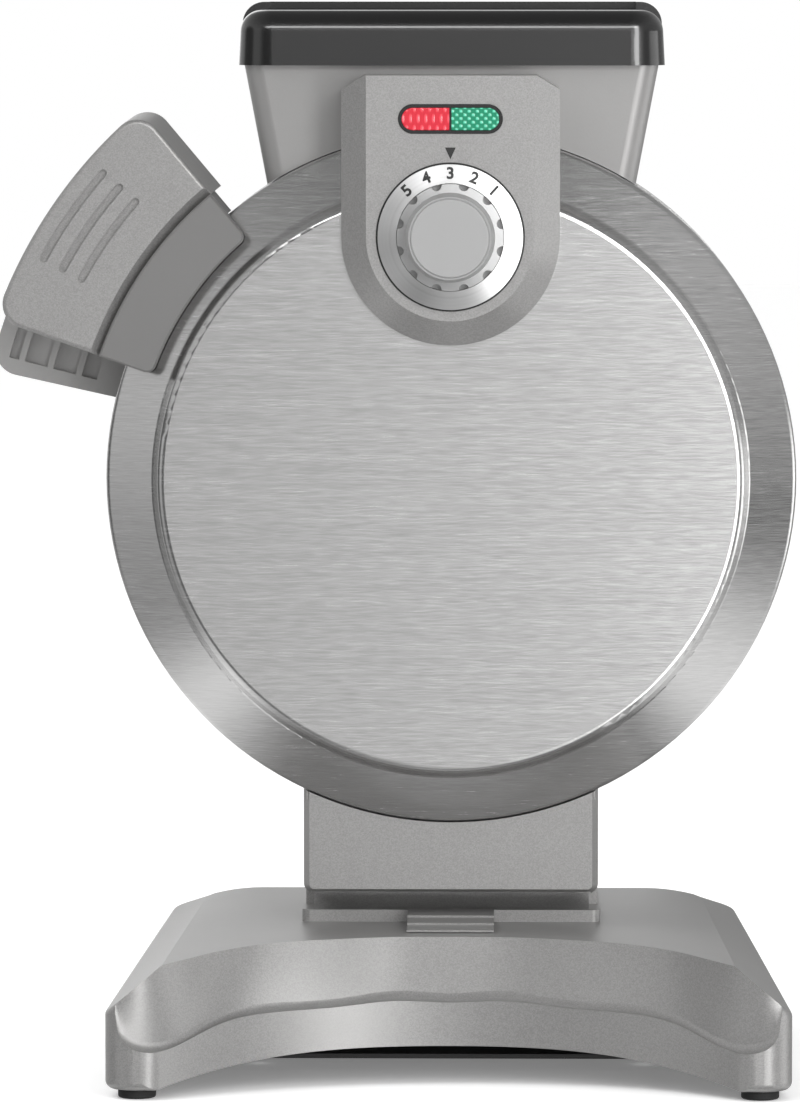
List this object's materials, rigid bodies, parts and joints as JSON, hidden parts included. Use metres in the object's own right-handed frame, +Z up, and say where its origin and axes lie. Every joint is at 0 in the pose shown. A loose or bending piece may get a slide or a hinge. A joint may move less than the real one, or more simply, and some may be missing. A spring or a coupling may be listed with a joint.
{
  "type": "vertical waffle maker",
  "caption": "Upright round waffle iron: batter runs down from a top spout between two discs, and the front disc, with thermostat dial and side handle, folds forward on its base.",
  "frame": {"origin": "on the table under the centre of the disc, in the plane where the front and rear halves part", "axes": "+Z up, -Y towards the user and the dial, +X to the user's right, so the handle is on -X"},
  "size_m": [0.2583, 0.1866, 0.342],
  "materials": {
    "brushed_cover": "horizontal brushed satin",
    "silver_flake": "fine silver flake, satin",
    "smooth_silver": "smooth satin",
    "dark_silver": "satin",
    "black_gloss": "gloss",
    "black_moulding": "satin",
    "coated_casting": "non-stick coat",
    "heater_sheath": "dull",
    "bright_sheet": "bright",
    "fastener_steel": "zinc plated",
    "base_panel": "matt black",
    "dial_metal": "spun",
    "knob_plastic": "satin",
    "cap_plastic": "satin",
    "lamp_black": "gloss",
    "red_window": "clear tint",
    "green_window": "clear tint",
    "lamp_glass": "clear",
    "foot_rubber": "matt"
  },
  "bodies": {
    "stand": {"base_shell": "silver_flake", "base_plate": "base_panel", "base_plate_screws": "fastener_steel", "feet": "foot_rubber", "neck_shell": "silver_flake", "neck_cover": "silver_flake", "neck_cover_screws": "fastener_steel", "neck_head_screws": "fastener_steel", "bolt_keeper": "fastener_steel", "bolt_keeper_screws": "fastener_steel", "bolt_spring": "fastener_steel", "lead_inlet": "black_moulding", "terminal_block": "black_moulding", "thermal_cutoff": "bright_sheet", "rear_bezel": "black_moulding", "rear_cover": "brushed_cover", "rear_plate": "coated_casting", "rear_plate_rim": "coated_casting", "rear_element": "heater_sheath", "rear_reflector": "bright_sheet", "rear_cover_screws": "fastener_steel", "rear_spacers": "bright_sheet", "rear_spout": "black_gloss", "rear_collar": "smooth_silver", "rear_handle": "dark_silver", "rear_handle_screws": "fastener_steel", "detent_clip": "fastener_steel"},
    "lid": {"lid_cover": "brushed_cover", "lid_bezel": "black_moulding", "lid_plate": "coated_casting", "lid_plate_rim": "coated_casting", "lid_element": "heater_sheath", "lid_reflector": "bright_sheet", "lid_plate_screws": "fastener_steel", "lid_leaf": "silver_flake", "leaf_screws": "fastener_steel", "hinge_pin": "fastener_steel", "lid_collar": "smooth_silver", "lid_spout": "black_gloss", "control_panel": "silver_flake", "panel_screws": "fastener_steel", "lamp_frame": "lamp_black", "red_lens": "red_window", "green_lens": "green_window", "lamp_holder": "black_moulding", "indicator_lamps": "lamp_glass", "thermostat": "black_moulding", "handle_bracket": "smooth_silver", "handle_grip": "silver_flake", "handle_screws": "fastener_steel"},
    "dial": {"dial_ring": "dial_metal", "knob": "knob_plastic", "knob_cap": "cap_plastic", "dial_shaft": "fastener_steel"},
    "bolt": {"release_bolt": "silver_flake"}
  },
  "joints": [
    {"name": "lid_hinge", "type": "hinge", "parent": "stand", "child": "lid", "pos_m": [0, -0.022, 0.064], "axis": [1, 0, 0], "range_deg": [0, 90]},
    {"name": "dial_turn", "type": "hinge", "parent": "lid", "child": "dial", "pos_m": [0, -0.052, 0.268], "axis": [0, -1, 0], "range_deg": [-43, 43]},
    {"name": "bolt_slide", "type": "slide", "parent": "stand", "child": "bolt", "axis": [0, -1, 0], "range_m": [0, 0.004], "stiffness_N_per_m": 300, "deforming": ["bolt_spring"]}
  ]
}
